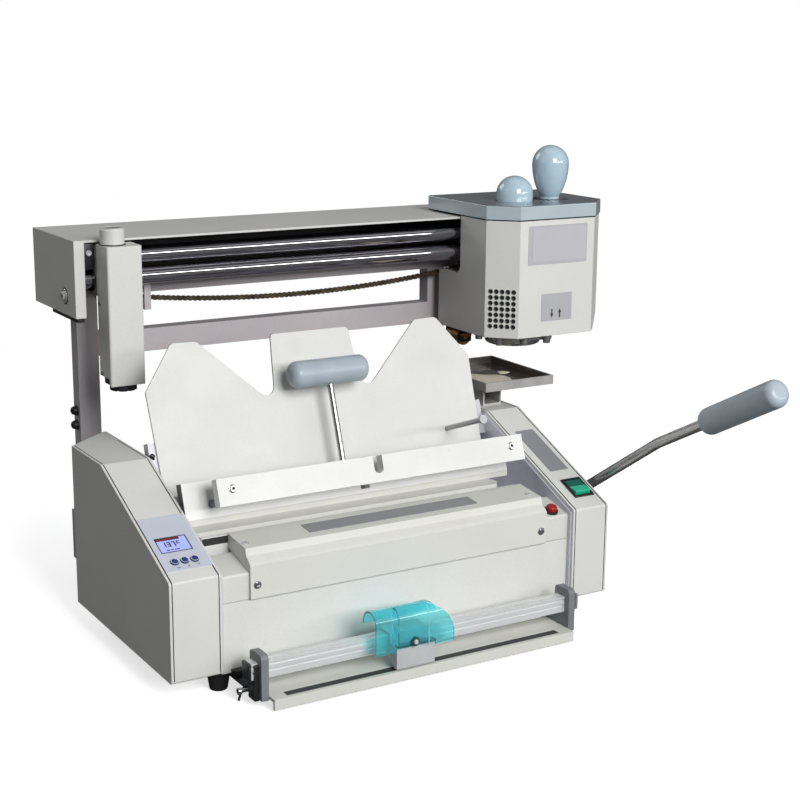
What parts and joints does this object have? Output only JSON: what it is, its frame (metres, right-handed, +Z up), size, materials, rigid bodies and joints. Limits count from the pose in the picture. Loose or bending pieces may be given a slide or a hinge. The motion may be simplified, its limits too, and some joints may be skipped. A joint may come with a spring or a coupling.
{
  "type": "thermal binding machine",
  "caption": "Desk-top hot-melt book binder: milling unit and glue head on a beam, book clamp, nip press with lever, cover creaser.",
  "frame": {"origin": "centre of the whole footprint at desk height", "axes": "+X to the machine's right seen from the front, +Y to its rear, +Z up"},
  "size_m": [0.72, 0.703, 0.505],
  "materials": {
    "casing_paint": "fine texture",
    "frame_paint": "satin",
    "plate_paint": "fine texture",
    "dark_steel": "satin black",
    "chrome_rod": "polished",
    "bright_steel": "brushed",
    "chain_steel": "oiled",
    "aluminium": "anodised",
    "brass": "satin",
    "rubber": "matt",
    "strip_rubber": "matt",
    "grip_plastic": "satin",
    "cap_plastic": "satin",
    "knob_plastic": "gloss",
    "black_plastic": "satin",
    "grey_plastic": "satin",
    "hood_plastic": "clear tinted",
    "panel_plastic": "satin",
    "display_glass": "gloss",
    "button_plastic": "gloss",
    "rocker_plastic": "translucent",
    "stop_plastic": "gloss"
  },
  "bodies": {
    "base": {"casing_left": "casing_paint", "casing_right": "casing_paint", "inner_walls": "frame_paint", "body_housing": "frame_paint", "front_apron": "casing_paint", "front_ledge": "casing_paint", "rear_base": "frame_paint", "mains_inlet": "black_plastic", "feet": "rubber", "stepped_cover": "casing_paint", "nip_platform": "casing_paint", "rear_jaw": "casing_paint", "jaw_mounts": "frame_paint", "handle_bracket": "frame_paint", "rest_plate": "plate_paint", "rest_fittings": "bright_steel", "frame_posts": "frame_paint", "lower_rail": "frame_paint", "upper_rail": "frame_paint", "end_plates": "dark_steel", "guide_rods": "chrome_rod", "beam_cover": "casing_paint", "chain_run": "chain_steel", "chain_return": "chain_steel", "drip_tray": "frame_paint", "control_panel": "panel_plastic", "display": "display_glass", "rocker_bezel": "black_plastic", "stop_collar": "black_plastic", "creaser_plates": "grey_plastic", "crease_rail": "aluminium", "crease_tray": "casing_paint", "crease_strip": "strip_rubber"},
    "mill": {"mill_housing": "casing_paint", "mill_carriage": "frame_paint"},
    "cutter": {"cutter": "dark_steel"},
    "head": {"head_housing": "casing_paint", "head_cap": "cap_plastic", "head_carriage": "aluminium", "glue_pan": "bright_steel", "glue_roller_yoke": "dark_steel"},
    "glue_roller": {"glue_roller": "brass"},
    "knob_left": {"knob_left": "knob_plastic"},
    "knob_right": {"knob_right": "knob_plastic"},
    "handle": {"handle_rod": "chrome_rod", "handle_grip": "grip_plastic"},
    "clamp_bar": {"front_jaw": "casing_paint"},
    "nip_bar": {"nip_jaw": "casing_paint"},
    "lever": {"press_lever": "bright_steel", "lever_grip": "grip_plastic"},
    "button_left": {"panel_button_left": "button_plastic"},
    "button_middle": {"panel_button_middle": "button_plastic"},
    "button_right": {"panel_button_right": "button_plastic"},
    "rocker": {"rocker": "rocker_plastic"},
    "stop_button": {"stop_button": "stop_plastic"},
    "crease_unit": {"crease_carriage": "grey_plastic", "crease_hood": "hood_plastic"},
    "crease_wheel": {"crease_wheel": "bright_steel"},
    "sprocket_left": {"sprocket_left": "bright_steel"},
    "sprocket_right": {"sprocket_right": "bright_steel"}
  },
  "joints": [
    {"name": "mill_slide", "type": "slide", "parent": "base", "child": "mill", "axis": [1, 0, 0], "range_m": [0, 0.391]},
    {"name": "cutter_spin", "type": "hinge", "parent": "mill", "child": "cutter", "pos_m": [-0.28475, 0.1943, 0.2595], "axis": [0, 0, 1], "continuous": true},
    {"name": "head_slide", "type": "slide", "parent": "base", "child": "head", "axis": [1, 0, 0], "range_m": [-0.391, 0]},
    {"name": "glue_roller_spin", "type": "hinge", "parent": "head", "child": "glue_roller", "pos_m": [0.187, 0.22255, 0.263], "axis": [0, 1, 0], "continuous": true},
    {"name": "knob_right_slide", "type": "slide", "parent": "head", "child": "knob_right", "axis": [0, 0, 1], "range_m": [-0.036, 0]},
    {"name": "knob_left_slide", "type": "slide", "parent": "head", "child": "knob_left", "axis": [0, 0, 1], "range_m": [0, 0.036]},
    {"name": "handle_swing", "type": "hinge", "parent": "base", "child": "handle", "pos_m": [-0.0925, 0.02655, 0.152], "axis": [1, 0, 0], "range_deg": [0, 65]},
    {"name": "clamp_slide", "type": "slide", "parent": "base", "child": "clamp_bar", "axis": [0, 0.9426, -0.3338], "range_m": [0, 0.024]},
    {"name": "lever_press", "type": "hinge", "parent": "base", "child": "lever", "pos_m": [0.18, 0.00455, 0.099], "axis": [1, 0, 0], "range_deg": [0, 35]},
    {"name": "nip_slide", "type": "slide", "parent": "base", "child": "nip_bar", "axis": [0, 1, 0], "range_m": [0, 0.005]},
    {"name": "button_left_push", "type": "slide", "parent": "base", "child": "button_left", "axis": [0, 0.392, -0.92], "range_m": [0, 0.0012], "stiffness_N_per_m": 300},
    {"name": "button_middle_push", "type": "slide", "parent": "base", "child": "button_middle", "axis": [0, 0.392, -0.92], "range_m": [0, 0.0012], "stiffness_N_per_m": 300},
    {"name": "button_right_push", "type": "slide", "parent": "base", "child": "button_right", "axis": [0, 0.392, -0.92], "range_m": [0, 0.0012], "stiffness_N_per_m": 300},
    {"name": "rocker_tilt", "type": "hinge", "parent": "base", "child": "rocker", "pos_m": [0.148, -0.0727, 0.14178], "axis": [1, 0, 0], "range_deg": [0, 16]},
    {"name": "stop_push", "type": "slide", "parent": "base", "child": "stop_button", "axis": [0, 0.2334, -0.9724], "range_m": [0, 0.0025], "stiffness_N_per_m": 300},
    {"name": "crease_slide", "type": "slide", "parent": "base", "child": "crease_unit", "axis": [1, 0, 0], "range_m": [-0.105, 0.15]},
    {"name": "crease_wheel_roll", "type": "hinge", "parent": "crease_unit", "child": "crease_wheel", "pos_m": [-0.116, -0.15045, 0.0228], "axis": [0, 1, 0], "range_deg": [-718, 1022]},
    {"name": "sprocket_left_turn", "type": "hinge", "parent": "base", "child": "sprocket_left", "pos_m": [-0.2716, 0.26955, 0.35652], "axis": [0, 1, 0], "range_deg": [-2196, 0]},
    {"name": "sprocket_right_turn", "type": "hinge", "parent": "base", "child": "sprocket_right", "pos_m": [0.2156, 0.26955, 0.35652], "axis": [0, 1, 0], "range_deg": [-2196, 0]}
  ],
  "couplings": [
    {"joint": "knob_left_slide", "follows": "knob_right_slide", "ratio": -1},
    {"joint": "clamp_slide", "follows": "handle_swing", "m_per_rad": 0.021155},
    {"joint": "nip_slide", "follows": "lever_press", "m_per_rad": 0.0081851},
    {"joint": "crease_wheel_roll", "follows": "crease_slide", "rad_per_m": 117.65},
    {"joint": "sprocket_left_turn", "follows": "mill_slide", "rad_per_m": -97.561},
    {"joint": "sprocket_right_turn", "follows": "mill_slide", "rad_per_m": -97.561}
  ]
}
